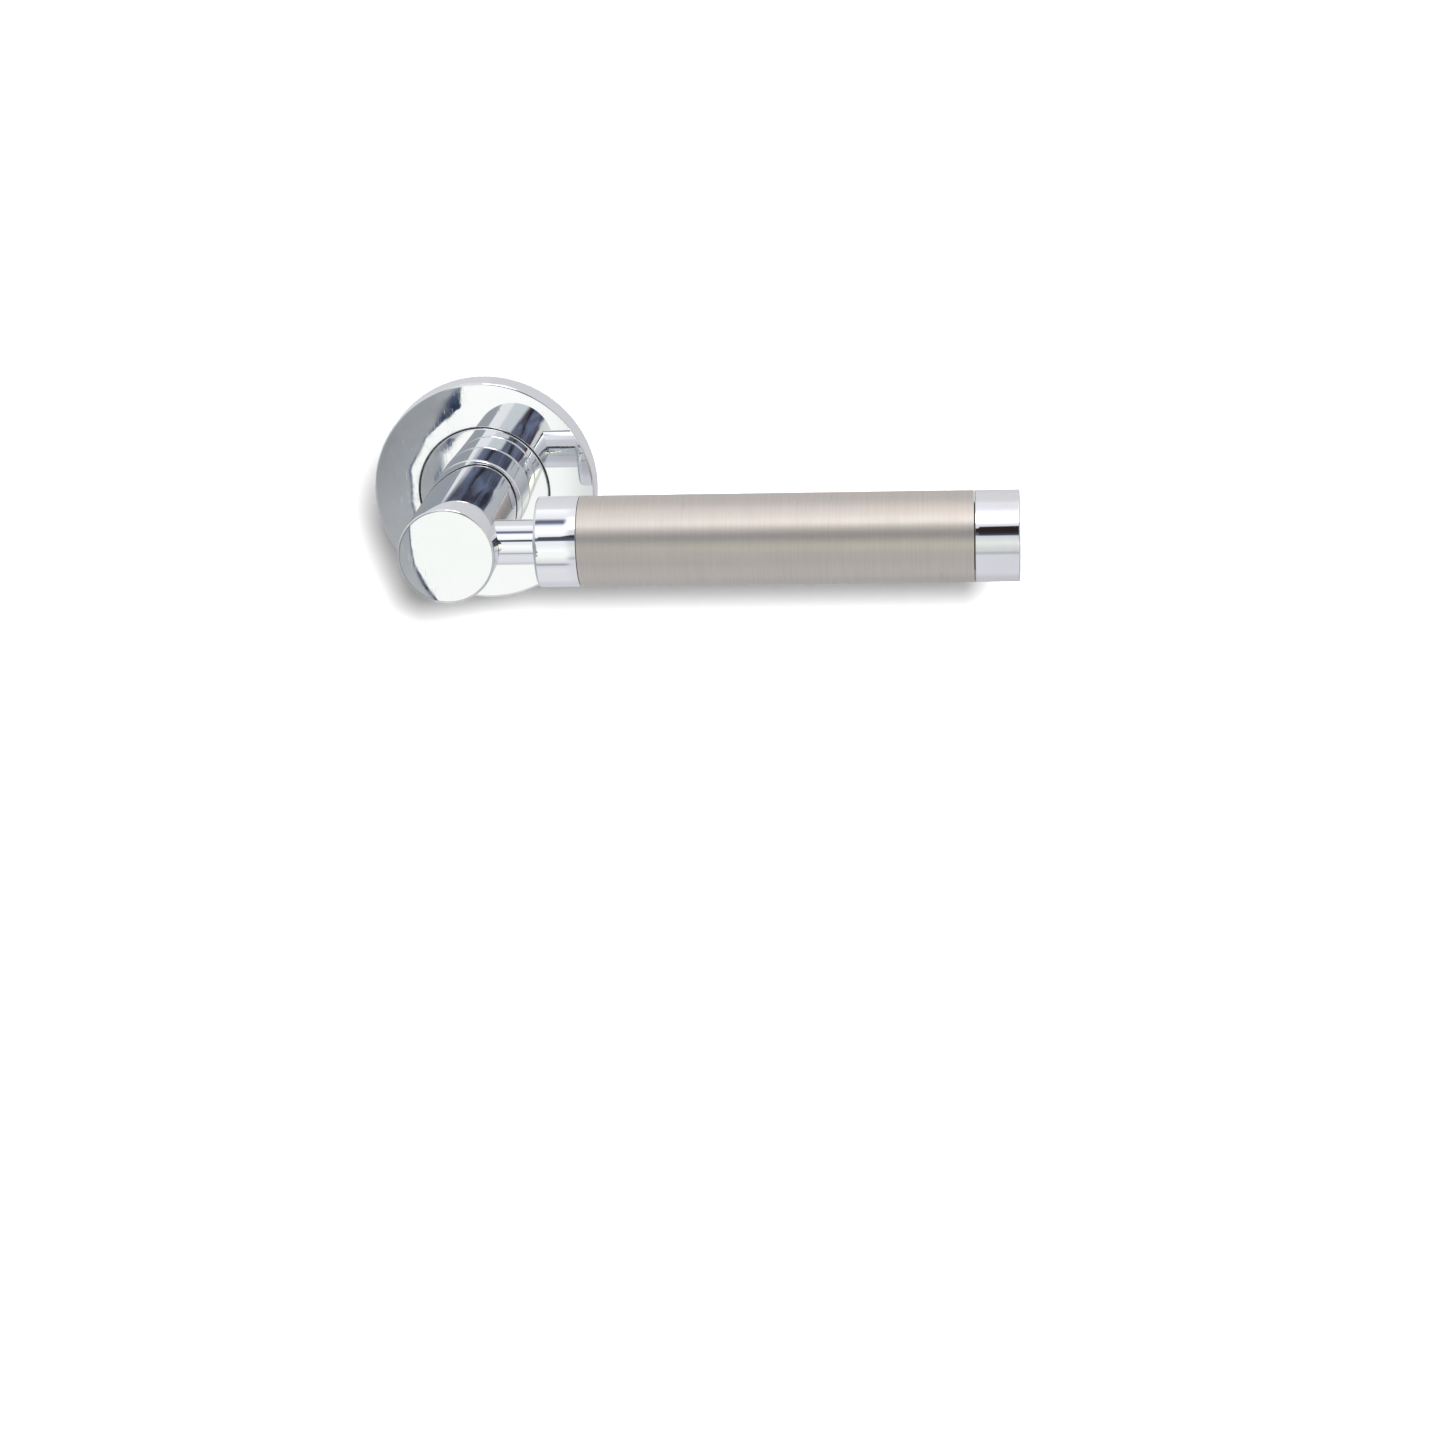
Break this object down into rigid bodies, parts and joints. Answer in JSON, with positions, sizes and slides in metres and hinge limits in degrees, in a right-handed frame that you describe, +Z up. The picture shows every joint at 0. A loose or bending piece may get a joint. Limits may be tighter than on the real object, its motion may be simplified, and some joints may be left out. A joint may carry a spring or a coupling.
{
  "type": "door lever handle",
  "caption": "Door lever handle on a round rose: polished bar neck with collar ring, thin spigot and round satin grip with polished ferrule and end cap, square spindle, sprung to rest level.",
  "frame": {"origin": "where the spindle axis meets the door face, at the middle of the back of the rose", "axes": "+X along the lever from the spindle axis to the end cap, +Z up, +Y into the door along the spindle, so the user stands on the -Y side"},
  "size_m": [0.1505, 0.1135, 0.052],
  "materials": {
    "polished_chrome": "mirror-polished chrome plate",
    "satin_nickel": "satin nickel, finely brushed round the tube",
    "zinc_casting": "raw zinc die casting, slightly matt",
    "zinc_plated_steel": "bright zinc-plated steel",
    "spring_steel": "oiled spring steel",
    "black_steel": "black-oxide steel",
    "nylon": "natural moulded nylon",
    "rubber": "matt black rubber"
  },
  "bodies": {
    "rose": {"rose_cover": "polished_chrome", "base_plate": "zinc_casting", "bolt_posts": "zinc_plated_steel", "bearing_bush": "nylon", "return_spring": "spring_steel", "cover_ring": "nylon", "thrust_washer": "zinc_plated_steel"},
    "lever": {"spring_washer": "spring_steel", "circlip": "spring_steel", "hub": "polished_chrome", "driver_plate": "zinc_casting", "collar_ring": "polished_chrome", "neck_bar": "polished_chrome", "neck_screw": "zinc_plated_steel", "grub_screw": "black_steel", "spindle": "zinc_plated_steel", "spigot": "polished_chrome", "tie_rod": "zinc_plated_steel", "ferrule": "polished_chrome", "grip_tube": "satin_nickel", "centring_ring": "nylon", "end_plug": "zinc_casting", "lock_washer": "spring_steel", "tie_nut": "zinc_plated_steel", "cap_oring": "rubber", "end_cap": "polished_chrome"}
  },
  "joints": [
    {"name": "lever_turn", "type": "hinge", "parent": "rose", "child": "lever", "pos_m": [0, 0, 0], "axis": [0, 1, 0], "range_deg": [0, 45], "stiffness_Nm_per_rad": 0.2, "springref_deg": -54.43, "deforming": ["return_spring"]}
  ]
}
